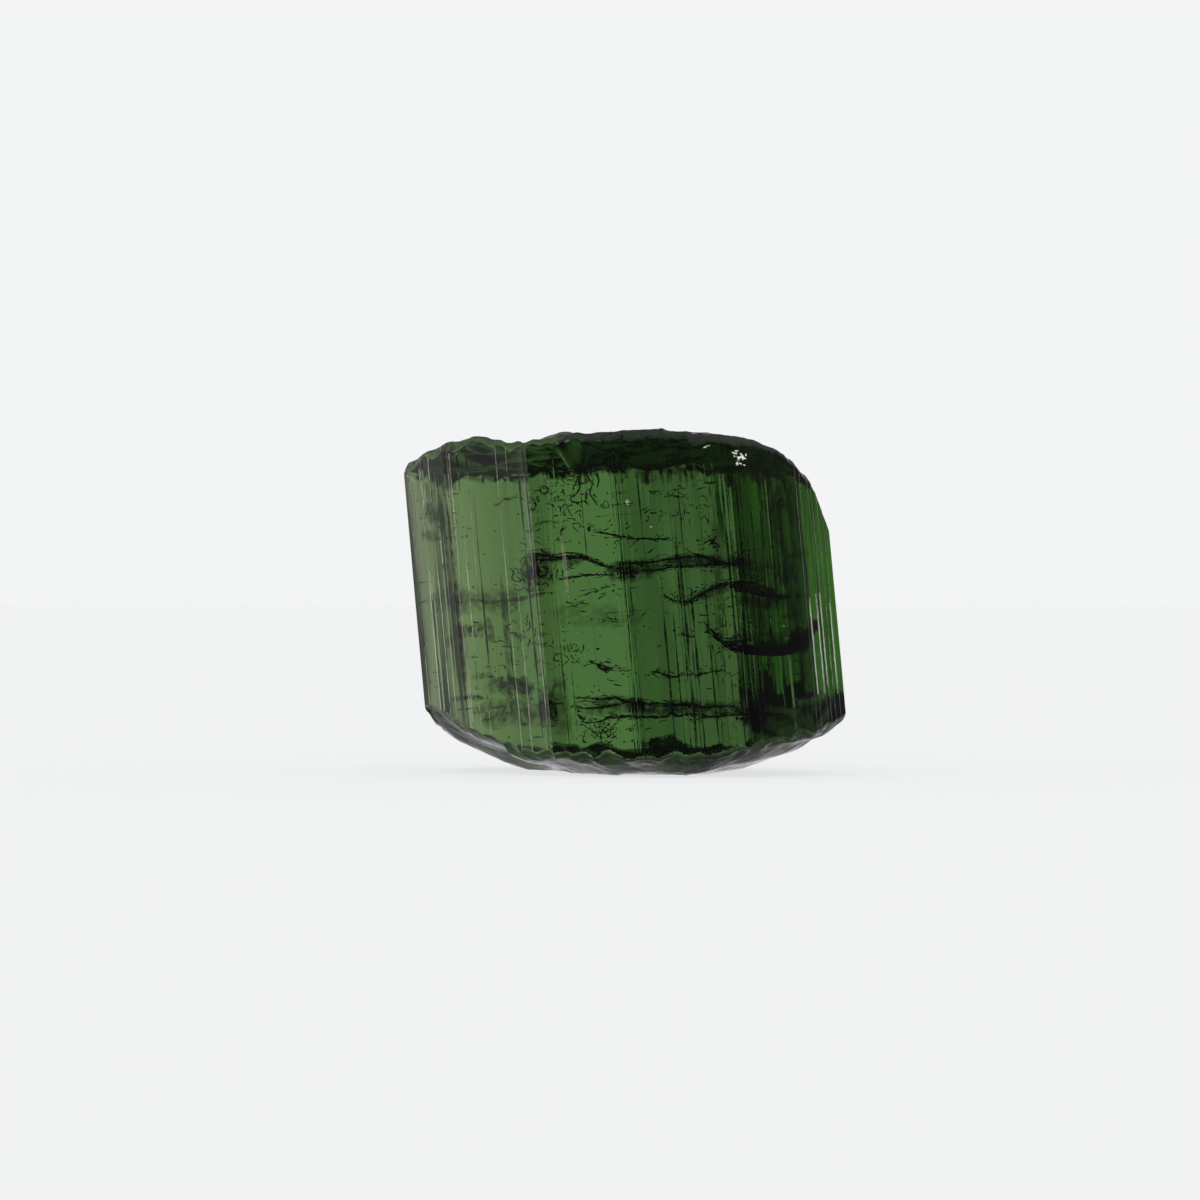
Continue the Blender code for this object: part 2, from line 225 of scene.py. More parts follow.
# The crystal has the sizes of its solid, in mm in the prism's own frame, and finer ribs.
crystal = {
    "edges": [
        (-9.55, 8.3), (-7.67, 5.46), (-3.87, 1.79), (0.0, 0.0), (4.95, 0.48), (5.52, 0.7), (7.40, 1.57),
        (9.23, 4.28), (8.00, 10.1), (3.10, 13.5), (-0.65, 15.2), (-7.20, 14.5), (-8.65, 11.9),
    ],
    "frontEdges": 8,  # how many of the edges are in view from the front
    "middle": (0.2, 7.2),
    "bulge": 0.004,  # how far the middle of a face stands out, per length of the face
    "ribs": {  # by face: narrow, usual and wide ribs in mm, how far they lean in degrees,
        # and the share of them that end in a little step
        0: (0.06, 0.20, 0.6, 1.2, 0.45), 1: (0.06, 0.22, 0.8, 0.8, 0.35), 2: (0.06, 0.25, 0.8, 0.5, 0.4),
        3: (0.06, 0.20, 0.6, 0.9, 0.5), 4: (0.05, 0.12, 0.3, 0.2, 0.25), 5: (0.05, 0.12, 0.3, 0.15, 0.15),
        6: (0.10, 0.20, 0.4, 0.05, 0.1),
    },
    "otherRibs": (0.10, 0.30, 0.9, 0.9, 0.45),
    "stepWidth": 0.045,
    "stepSpread": (0.8, 1.3),  # share of that width
    "stepHeight": (0.006, 0.022),
    "rising": {0: 0.35, 1: 0.12, 2: 0.0, 3: 0.05, 4: 0.0, 5: 0.1},  # share of steps that rise to the right
    "ribStrength": (0.1, 1.4),  # ribs fade and deepen between these along their length
    "lines": [  # deep lines in the front: place along x, height of the step
        (-8.35, 0.02), (-8.1, -0.02), (-7.3, 0.02), (-7.0, -0.02), (-2.75, -0.03), (-0.16, -0.02),
        (0.12, -0.012), (1.53, -0.02), (2.15, -0.03), (2.35, -0.03), (2.6, -0.03), (4.55, -0.03),
        (4.8, -0.03), (5.3, -0.03),
    ],
    "roundRibs": {  # thin ribs on the last front face: place along x, lean of their flanks in degrees
        "at": ((8.02, 5.2), (8.34, 5.9), (8.52, 5.5), (8.74, 5.0), (8.96, 5.7)),
        "flank": 0.075, "top": 0.02,
    },
    "growth": {"depth": 0.0015, "stretch": 3.3, "across": 2.4},  # long shallow swellings of the walls
    "lean": 5.2,
    "footCut": 0.22,
    "topBreak": [
        (-9.4, 7.2), (-7.5, 7.85), (-5.9, 8.0), (-4.7, 7.62), (-3.8, 7.48), (-1.9, 7.65), (0.0, 7.52),
        (2.2, 7.48), (3.4, 7.28), (5.2, 6.85), (6.4, 6.55), (7.3, 6.02), (7.8, 5.72), (8.3, 5.2),
        (8.75, 4.4), (9.1, 3.4), (9.3, 2.4),
    ],
    "bottomBreak": [
        (-9.4, -4.9), (-7.0, -6.0), (-5.1, -6.75), (-3.3, -7.15), (-1.6, -7.4), (0.5, -7.65), (2.7, -7.75),
        (4.5, -7.65), (6.7, -7.2), (8.1, -6.75), (9.3, -6.1),
    ],
    "frontRim": (0.3, 2.2),  # between these depths behind the wall the front rim's smoothness ends
    "dish": {"fall": 0.44, "reach": 4.1, "rise": 0.02},  # per mm, down to this reach and up behind it
    "shelf": {"edge": -2.4, "heading": -12, "fall": 0.12, "reach": 0.5},  # left of its edge it falls less
    "cornerChip": {"at": (7.4, 1.3), "reach": (0.2, 2.3), "depth": 0.8},
    "bottomRise": 0.0066,  # with the square of the distance from the foot's line
    "footBowl": 0.008,  # and with the square of the distance from the foot itself
    "footEdge": (3.2, 5.6),  # the lower break is smooth inside the first distance from the foot's middle
    "backSink": {"left": (1.0, 6.0), "back": (7.0, 11.0), "depth": 1.0},
    "topOrigin": (-3.4, 4.6),  # where each break started, and its ripples spread from
    "bottomOrigin": (2.0, 7.2),
    "ripple": {"height": 0.09, "spread": 0.375, "start": (1.0, 3.0)},
    # steps in each break: a place on the step, the way across it in degrees, how much it rises
    "topLedges": [((-5.6, 9.0), 60, 0.22), ((2.2, 9.0), 62, 0.15), ((4.0, 5.0), 190, 0.1)],
    "bottomLedges": [((-4.9, 9.0), 165, 0.2), ((3.6, 12.0), 75, 0.4)],
    "ledgeWave": {"across": 2.6, "reach": 0.8},
    "hackle": 0.32,
    "grain": {"top": 0.05, "bottom": 0.04, "coarse": 0.5, "fine": 0.22},
    "chips": {"width": 1.6, "reach": 0.9, "radius": 9.45, "top": 0.34, "bottom": 0.27},
    "rimBevel": {"top": (0.42, 0.26), "bottom": (0.3, 0.16)},  # height and depth of the chipped rim
    "capRows": 44,
    "wallRows": 64,
    "capCrowding": 1.4,  # how much closer the rows stand near the rim on a break
    "rowCrowding": 0.85,  # and near the two rims on the walls
    "columnWidth": 0.20,  # no column of faces is wider than this, in mm
    "sharp": {"wall": 1.3, "break": 28},  # an edge that turns more degrees than this is shaded sharp
    "refraction": 1.63,
    "absorbColour": (0.339, 0.557, 0.210, 1),
    "absorbDensity": 310,
    "gloss": {"wall": 0.02, "moreOnBreaks": 0.16},
    "striae": (11000, 11000, 160),  # scale of the fine lines on the walls, per metre
    "grainScale": 2500,  # on the breaks
    "relief": {"Strength": 0.5, "Distance": 0.000003},
}
prismFaces = list(zip(crystal["edges"], crystal["edges"][1:] + crystal["edges"][:1]))
frontWall = crystal["edges"][:crystal["frontEdges"]]


def along(points, x):
    return np.interp(x, [point[0] for point in points], [point[1] for point in points])


def eased(value, low, high):
    share = np.clip((value - low) / (high - low), 0.0, 1.0)
    return share * share * (3 - 2 * share)


def rough(x, y, layer, size):  # smooth unevenness from -1 to 1; each layer has its own
    x, y, layer = np.broadcast_arrays(x / size, y / size, layer / size)
    points = zip(x.ravel(), y.ravel(), layer.ravel())
    return np.array([noise.noise(point) for point in points]).reshape(x.shape)


def withRoundRibs(knots, middles):
    # Adds thin ribs with two leaning flanks to a face; they stay as high all along it.
    rib = crystal["roundRibs"]
    places, offsets = zip(*knots)
    rows = {place: (offset, 0.0) for place, offset in knots}
    outer, inner = rib["flank"] + rib["top"] / 2, rib["top"] / 2
    for middle, lean in middles:
        height = rib["flank"] * math.tan(math.radians(lean))
        for aside, rise in ((-outer, 0.0), (-inner, height), (inner, height), (outer, 0.0)):
            rows[middle + aside] = (float(np.interp(middle + aside, places, offsets)), rise)
    return [(place, *row) for place, row in sorted(rows.items())]


def ribKnots(draw, face, length, wanted):
    # Edges of the ribs along a face and their offsets in or out, with steps at the wanted places.
    narrow, usual, wide, tilt, stepShare = crystal["ribs"].get(face, crystal["otherRibs"])
    knots = [(0.0, 0.0)]
    travelled, offset = 0.0, 0.0
    while True:
        width = draw.choice((draw.uniform(narrow, usual), draw.uniform(usual, wide)))
        rises = draw.random() < crystal["rising"].get(face, 0.5)
        step = (1 if rises else -1) * draw.uniform(*crystal["stepHeight"])
        if draw.random() > stepShare:
            step = 0.0
        if wanted and wanted[0][0] < travelled + width + crystal["stepWidth"]:
            place, step = wanted.pop(0)
            width = max(narrow / 2, place - travelled)
        travelled += width
        if travelled > length - narrow:
            break
        offset += math.tan(math.radians(tilt)) * draw.uniform(-1, 1) * width
        knots.append((travelled, offset))
        if step:
            offset += step
            travelled += crystal["stepWidth"] * draw.uniform(*crystal["stepSpread"])
            knots.append((travelled, offset))
    last, drift = knots[-1]
    return [(place, low - drift * place / last) for place, low in knots] + [(length, 0.0)]


def ribbedOutline():
    # Points round the prism with each one's place, outward direction, bulge and step in or out.
    draw = random.Random(11)
    points = []
    lastFront = crystal["frontEdges"] - 2
    for face, ((ax, ay), (bx, by)) in enumerate(prismFaces):
        length = math.hypot(bx - ax, by - ay)
        out = ((by - ay) / length, (ax - bx) / length)
        wanted = sorted(
            ((place - ax) / (bx - ax) * length, height)
            for place, height in crystal["lines"] if face <= lastFront and ax < place < bx
        )
        thin = crystal["roundRibs"]["at"] if face == lastFront else ()
        middles = [((x - ax) / (bx - ax) * length, lean) for x, lean in thin]
        knots = withRoundRibs(ribKnots(draw, face, length, wanted), middles)
        for (start, low, rise), (end, high, nextRise) in zip(knots, knots[1:]):
            parts = max(1, math.ceil((end - start) / crystal["columnWidth"]))
            for part in range(parts):
                run = start + (end - start) * part / parts
                share = run / length
                bulge = 4 * crystal["bulge"] * length * share * (1 - share)
                points.append((
                    ax + (bx - ax) * share, ay + (by - ay) * share, *out,
                    bulge + rise + (nextRise - rise) * part / parts, low + (high - low) * part / parts,
                ))
    return np.array(points)


def rimDistance(x, y):
    nearest = np.full(x.shape, 10.0)
    for (ax, ay), (bx, by) in prismFaces:
        ex, ey = bx - ax, by - ay
        share = ((x - ax) * ex + (y - ay) * ey) / (ex * ex + ey * ey)
        away = np.hypot(ax + ex * share - x, ay + ey * share - y)
        nearest = np.where((share >= 0) & (share <= 1), np.minimum(nearest, away), nearest)
    return nearest


def ripples(x, y, origin):
    ripple = crystal["ripple"]
    reach = np.hypot(x - origin[0], y - origin[1]) + 0.9 * rough(x, y, 3.0, 4.0)
    rings = np.sqrt(np.maximum(0.0, reach) / ripple["spread"])
    return ripple["height"] * np.sin(2 * math.pi * rings) * eased(reach, *ripple["start"])


def ledge(x, y, place, heading, height, reach=0.2):
    turn = math.radians(heading)
    wave = crystal["ledgeWave"]
    ahead = (x - place[0]) * math.cos(turn) + (y - place[1]) * math.sin(turn)
    ahead = ahead + wave["reach"] * rough(x, y, 8.0, wave["across"])
    return height * eased(ahead, -reach, reach)


def rimChips(x, y, layer, depth):
    chips = crystal["chips"]
    near = 1 - eased(rimDistance(x, y), 0.0, chips["reach"])
    roundTheRim = np.arctan2(y - crystal["middle"][1], x - crystal["middle"][0]) * chips["radius"]
    scallop = np.abs(np.sin(math.pi * (roundTheRim / chips["width"] + rough(x, y, layer, 3.0))))
    return depth * near * scallop * (0.6 + 0.8 * rough(x, y, layer + 5.0, 2.2))


def breakGrain(x, y, layer, height):
    grain = crystal["grain"]
    return height * rough(x, y, layer, grain["coarse"]) + height / 2 * rough(x, y, layer + 1, grain["fine"])


def dished(x, y, behind):
    dish, shelf = crystal["dish"], crystal["shelf"]
    behind = np.maximum(behind, 0.0)
    depth = dish["fall"] * np.minimum(behind, dish["reach"])
    depth -= dish["rise"] * np.maximum(0.0, behind - dish["reach"])
    onShelf = shelf["fall"] * behind
    offShelf = ledge(x, y, (shelf["edge"], 0.0), shelf["heading"], 1.0, shelf["reach"])
    return onShelf + (depth - onShelf) * offShelf


def topHeight(x, y):
    behind = y - along(frontWall, x)
    inside = eased(behind, *crystal["frontRim"])
    height = along(crystal["topBreak"], x) - dished(x, y, behind)
    height += inside * ripples(x, y, crystal["topOrigin"])
    height += (0.35 + 0.65 * inside) * crystal["hackle"] * rough(x, y, 1.0, 2.6)
    height += inside * 0.4 * crystal["hackle"] * rough(x, y, 2.0, 1.2)
    height += inside * sum(ledge(x, y, *step) for step in crystal["topLedges"])
    chip = crystal["cornerChip"]
    fromCorner = np.hypot(x - chip["at"][0], y - chip["at"][1])
    height -= chip["depth"] * (1 - eased(fromCorner, *chip["reach"])) * inside
    height += breakGrain(x, y, 4.0, crystal["grain"]["top"])
    return height - (0.3 + 0.7 * inside) * rimChips(x, y, 11.0, crystal["chips"]["top"])


def bottomHeight(x, y):
    footX, footY = crystal["bottomOrigin"]
    sink = crystal["backSink"]
    fromLine = y - footY
    away = np.hypot(x - footX, fromLine)
    openGround = eased(away, *crystal["footEdge"])
    height = along(crystal["bottomBreak"], x) + crystal["footBowl"] * away * away
    height += crystal["bottomRise"] * (fromLine * fromLine - footY ** 2)
    height -= sink["depth"] * eased(-x, *sink["left"]) * eased(y, *sink["back"])
    height += openGround * ripples(x, y, crystal["bottomOrigin"])
    height += openGround * 0.8 * crystal["hackle"] * rough(x, y, 6.0, 2.3)
    height += sum(ledge(x, y, *step) for step in crystal["bottomLedges"])
    height += openGround * breakGrain(x, y, 14.0, crystal["grain"]["bottom"])
    return height + rimChips(x, y, 17.0, crystal["chips"]["bottom"])


def leaned(x, y, z):
    lean = math.radians(crystal["lean"])
    return x * math.cos(lean) - z * math.sin(lean), y, x * math.sin(lean) + z * math.cos(lean)


def crystalPlaces(column, row):
    # Where each point of the wrapped grid goes, and how far it is on a break.
    capRows, wallRows = crystal["capRows"], crystal["wallRows"]
    outline = ribbedOutline()
    baseX, baseY, outX, outY, bulge, step = outline[column % len(outline)].T
    fromPole = np.minimum(row, 2 * capRows + wallRows - row) / capRows
    inner = 1 - (1 - np.clip(fromPole, 0, 1)) ** crystal["capCrowding"]
    middleX, middleY = crystal["middle"]
    rimX, rimY = baseX + outX * bulge, baseY + outY * bulge
    x = middleX + (rimX - middleX) * inner
    y = middleY + (rimY - middleY) * inner
    top, bottom = topHeight(x, y), bottomHeight(x, y)
    share = np.clip((row - capRows) / wallRows, 0, 1)
    share = share - crystal["rowCrowding"] * np.sin(2 * math.pi * share) / (2 * math.pi)
    z = bottom + (top - bottom) * share
    strength = np.clip(0.75 + 1.1 * rough(baseX, baseY, z / 4.0, 1.1), *crystal["ribStrength"])
    edge = eased(inner, 0.93, 1.0)
    x = x + outX * step * strength * edge
    y = y + outY * step * strength * edge
    growth = crystal["growth"]
    sunk = growth["depth"] * rough(x, y, z / growth["stretch"], growth["across"])
    x = x + (middleX - x) * sunk
    y = y + (middleY - y) * sunk
    chipped = np.zeros(x.shape)
    for fromRim, (tall, deep), layer in (
        (top - z, crystal["rimBevel"]["top"], 21.0), (z - bottom, crystal["rimBevel"]["bottom"], 31.0),
    ):
        uneven = 0.75 + 0.7 * rough(baseX, baseY, layer, 0.9) + 0.35 * rough(baseX, baseY, layer + 2, 0.3)
        reach = tall * uneven
        near = 1 - np.clip(fromRim / np.maximum(reach, 0.05), 0.0, 1.0)
        pushed = edge * near ** 1.5 * deep * (reach / tall)
        pushed = pushed * (1 + 0.45 * rough(x, y, z + layer, 0.22))
        x, y = x - outX * pushed, y - outY * pushed
        chipped = np.maximum(chipped, edge * np.clip(near * 6, 0, 1))
    return x, y, z, np.maximum(chipped, 1.0 * (fromPole < 0.999))


def triangles(mesh):
    return sum(len(polygon.vertices) - 2 for polygon in mesh.polygons)


def buildCrystal():
    columns = len(ribbedOutline())
    rows = 2 * crystal["capRows"] + crystal["wallRows"]
    bm = bmesh.new()
    bmesh.ops.create_grid(bm, x_segments=columns, y_segments=rows, size=0.5)
    flat = np.array([vert.co for vert in bm.verts])
    column = np.round((flat[:, 0] + 0.5) * columns).astype(int)
    row = np.round((flat[:, 1] + 0.5) * rows).astype(int)
    x, y, z, broken = crystalPlaces(column, row)
    x, y, z = leaned(x, y, z)
    floor = z.min() + crystal["footCut"]
    crystal["shift"] = ((x.min() + x.max()) / 2, (y.min() + y.max()) / 2, floor)
    x, y, z = x - crystal["shift"][0], y - crystal["shift"][1], np.maximum(z, floor) - floor
    onBreak = bm.verts.layers.float.new("broken")
    for vert, co, share in zip(bm.verts, np.stack([x, y, z], 1) * mm, broken):
        vert.co = co
        vert[onBreak] = share
    bmesh.ops.remove_doubles(bm, verts=bm.verts, dist=1e-7)
    bmesh.ops.recalc_face_normals(bm, faces=bm.faces)
    if bm.calc_volume(signed=True) < 0:
        bmesh.ops.reverse_faces(bm, faces=bm.faces)
    limits = {name: math.radians(degrees) for name, degrees in crystal["sharp"].items()}
    for edge in bm.edges:
        first, second = edge.verts
        limit = limits["break" if first[onBreak] + second[onBreak] > 0.5 else "wall"]
        edge.smooth = edge.calc_face_angle(0) < limit
    for face in bm.faces:
        face.smooth = True
    obj = addObject("tourmaline_body", meshFrom(bm, "tourmalineBody"))
    print("crystal:", columns, "columns,", triangles(obj.data), "triangles")
    return obj


def crystalMaterial():
    material, tree, shader = newMaterial("greenTourmaline")
    onBreak = addNode(tree, "ShaderNodeAttribute", {}, attribute_name="broken").outputs["Fac"]
    where = tree.nodes.new("ShaderNodeTexCoord").outputs["Object"]
    turn = (0, math.radians(crystal["lean"]), 0)
    upright = addNode(tree, "ShaderNodeMapping", {"Vector": where, "Rotation": turn}).outputs[0]
    stretched = addNode(tree, "ShaderNodeMapping", {"Vector": upright, "Scale": crystal["striae"]}).outputs[0]
    relief = addNode(tree, "ShaderNodeMix", {
        "Factor": onBreak, "A": noiseNode(tree, stretched, 1.0, 2.0),
        "B": noiseNode(tree, where, crystal["grainScale"], 3.0),
    }).outputs["Result"]
    bump = addNode(tree, "ShaderNodeBump", {**crystal["relief"], "Height": relief})
    gloss = crystal["gloss"]
    fill(tree, shader, {
        "Base Color": (1, 1, 1, 1), "Metallic": 0.0, "IOR": crystal["refraction"], "Transmission Weight": 1.0,
        "Roughness": mathNode(tree, "MULTIPLY_ADD", onBreak, gloss["moreOnBreaks"], gloss["wall"]),
        "Normal": bump.outputs["Normal"],
    })
    absorb = addNode(tree, "ShaderNodeVolumeAbsorption", {
        "Color": crystal["absorbColour"], "Density": crystal["absorbDensity"],
    })
    fill(tree, tree.nodes["Material Output"], {"Volume": absorb.outputs[0]})
    return material


body = buildCrystal()
body.data.materials.append(crystalMaterial())
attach(body, "root")
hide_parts("tourmaline_crystal")
print("crystal ready")

# The flaws inside are placed in mm, from where they are seen on the plane that touches the front.
leanTurn = Matrix.Rotation(-math.radians(crystal["lean"]), 4, "Y")
toWorld = Matrix.Translation(-Vector(crystal["shift"])) @ leanTurn
toPrism = toWorld.inverted()
eye = toPrism @ (bpy.context.scene.camera.location / mm)
leanSlope = 0.09  # how much level layers inside the crystal rise per mm across
keepOff = {"wall": 0.2, "bottom": 0.6, "top": 0.3, "dishFall": 0.4}  # how far in small flaws stay


def insideAt(across, up, depth):
    # The place this deep behind the front wall that shows at a spot of the front plane, in mm.
    run = (toPrism @ Vector((across, lowCorner.y / mm, up)) - eye).normalized()
    best = None
    for (ax, ay), (bx, by) in zip(frontWall, frontWall[1:]):
        ex, ey = bx - ax, by - ay
        away = ((ax - eye.x) * ey - (ay - eye.y) * ex) / (run.x * ey - run.y * ex)
        share = ((eye.x + run.x * away - ax) * ex + (eye.y + run.y * away - ay) * ey) / (ex * ex + ey * ey)
        missed = max(0.0, share - 1, -share)
        if best is None or missed < best[0]:
            best = (missed, away, Vector((ey, -ex, 0)).normalized())
    _, away, out = best
    cosine = -run.dot(out)
    index = crystal["refraction"]
    bent = run / index + (cosine / index - math.sqrt(1 - (1 - cosine * cosine) / index ** 2)) * out
    return toWorld @ (eye + run * away + bent * depth)


def isInside(place):  # well inside the walls and the breaks
    x, y, z = toPrism @ place
    margin = keepOff["wall"]
    for (ax, ay), (bx, by) in prismFaces:
        if (bx - ax) * (y - ay) - (by - ay) * (x - ax) < margin * math.hypot(bx - ax, by - ay):
            return False
    behind = y - along(frontWall, x)
    low = along(crystal["bottomBreak"], x) + keepOff["bottom"]
    high = along(crystal["topBreak"], x) - keepOff["dishFall"] * min(behind, crystal["dish"]["reach"])
    return low + margin < z < high - margin - keepOff["top"]


def smoothRun(run, step):  # points along a smooth curve through a run's own points
    points = [Vector(point) for point in run]
    points = [2 * points[0] - points[1], *points, 2 * points[-1] - points[-2]]
    curve = []
    for before, start, end, after in zip(points, points[1:], points[2:], points[3:]):
        parts = max(1, round((end - start).length / step))
        for part in range(parts):
            share = part / parts
            curve.append(0.5 * (
                2 * start + (end - before) * share + (2 * before - 5 * start + 4 * end - after) * share ** 2
                + (3 * start - before - 3 * end + after) * share ** 3
            ))
    return curve + [points[-2]]


def addStrip(bm, middles, halfTall, halfDeep, sides):
    # A closed flat strip round its middle points, deep along the line of sight and pointed at both ends.
    rows = len(middles) - 1
    placed = []
    made = bmesh.ops.create_grid(bm, x_segments=sides, y_segments=rows, size=0.5)["verts"]
    for vert in made:
        turn = 2 * math.pi * (round((vert.co.x + 0.5) * sides) % sides) / sides
        row = round((vert.co.y + 0.5) * rows)
        ahead = middles[min(row + 1, rows)] - middles[max(row - 1, 0)]
        over = Vector((-ahead.z, 0, ahead.x)).normalized()
        deep = Vector((0, halfDeep[row], 0))
        vert.co = (middles[row] + over * halfTall[row] * math.cos(turn) - deep * math.sin(turn)) * mm
        placed.append((vert, row, turn))
    return placed


def addCrack(bm, draw, thickness, depth, run, step=0.07, ragged=1.0, lift=0.0):
    spots = smoothRun(run, step)
    place = draw.uniform(0, 50)
    middles, tall, deep = [], [], []
    for number, spot in enumerate(spots):
        share, far = number / (len(spots) - 1), number * step
        taper = math.sin(math.pi * share) if lift else min(1.0, 3.2 * math.sqrt(share * (1 - share)))
        wander = noise.noise((far * 3.1, place, 0)) * thickness * 0.55 * ragged
        flutter = abs(noise.noise((far * 4.5, place, 7))) + abs(noise.noise((far * 11, place, 3)))
        tall.append(taper * thickness / 2 * (1 + ragged * (1.5 * flutter - 0.6)))
        up = spot.y + wander + lift * tall[-1]
        middles.append(insideAt(spot.x, up, depth + 0.5 * noise.noise((far, place, 5))))
        deep.append(taper * min(0.7, 0.05 + 1.6 * thickness))
    tall[0] = tall[-1] = deep[0] = deep[-1] = 0.0
    addStrip(bm, middles, tall, deep, 8)


def addTick(bm, draw, across, up, length, thickness, depth, heading):
    turn = math.radians(heading)
    reach = Vector((math.cos(turn), math.sin(turn))) * length / 2
    bend = Vector((-reach.y, reach.x)) * draw.uniform(-0.35, 0.35)
    middle = Vector((across, up))
    spots = (middle - reach, middle - reach * 0.4 + bend, middle + reach * 0.4 + bend * 0.7, middle + reach)
    middles = [insideAt(spot.x, spot.y, depth) for spot in spots]
    if all(isInside(place) for place in middles[::3]):
        addStrip(bm, middles, [0, thickness / 2, thickness / 3, 0], [0, thickness * 1.5, thickness, 0], 5)


def addSpeck(bm, place, radius, flat, turn):
    matrix = Matrix.Translation(place * mm) @ Matrix.Rotation(turn, 4, "Y") @ Matrix.Diagonal((1, 1, flat, 1))
    if isInside(place):
        bmesh.ops.create_icosphere(bm, subdivisions=1, radius=radius * mm, matrix=matrix)


def packAway(bm, parts):  # keeps the working mesh small, because each operator goes through all of it
    if len(bm.verts) > 1500:
        parts.append(bpy.data.meshes.new("part"))
        bm.to_mesh(parts[-1])
        bm.clear()


def finishFlaw(bm, parts, name, material):
    for part in parts:
        bm.from_mesh(part)
        bpy.data.meshes.remove(part)
    bmesh.ops.remove_doubles(bm, verts=bm.verts, dist=1e-8)
    for face in bm.faces:
        face.smooth = True
    obj = addObject(name, meshFrom(bm, name))
    obj.data.materials.append(material)
    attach(obj, "root")
    print(name, "has", triangles(obj.data), "triangles")


def coverGroup():
    # Soft clumps of cover, with gaps where the clear crystal shows through.
    tree = bpy.data.node_groups.new("cloudyCover", "ShaderNodeTree")
    names = ("Scale", "Detail", "Clear Below", "Full Above", "Least", "Most")
    for name in names:
        tree.interface.new_socket(name, in_out="INPUT", socket_type="NodeSocketFloat")
    tree.interface.new_socket("Cover", in_out="OUTPUT", socket_type="NodeSocketFloat")
    given = tree.nodes.new("NodeGroupInput").outputs
    scale, detail, *limits = (given[name] for name in names)
    where = tree.nodes.new("ShaderNodeTexCoord").outputs["Object"]
    cover = rangeNode(tree, noiseNode(tree, where, scale, detail), *limits)
    addNode(tree, "NodeGroupOutput", {"Cover": cover})
    return tree


cloudyCover = coverGroup()


def dullMaterial(name, look, shade=None):
    # Dark and dull; an attribute, where there is one, thins its cover out towards its edges.
    material, tree, shader = newMaterial(name)
    clumps = tree.nodes.new("ShaderNodeGroup")
    clumps.node_tree = cloudyCover
    fill(tree, clumps, look["clumps"])
    cover = clumps.outputs["Cover"]
    if shade:
        edges = addNode(tree, "ShaderNodeAttribute", {}, attribute_name=shade).outputs["Fac"]
        cover = mathNode(tree, "MULTIPLY", cover, edges, clamp=True)
    fill(tree, shader, {
        "Base Color": (*look["colour"], 1), "Roughness": 0.7, "Specular IOR Level": 0.0, "Alpha": cover,
    })
    return material


def clumped(least, most):  # the cover of cracks, specks and lines
    limits = {"Clear Below": 0.36, "Full Above": 0.58, "Least": least, "Most": most}
    return {"Scale": 5200, "Detail": 2.0, **limits}


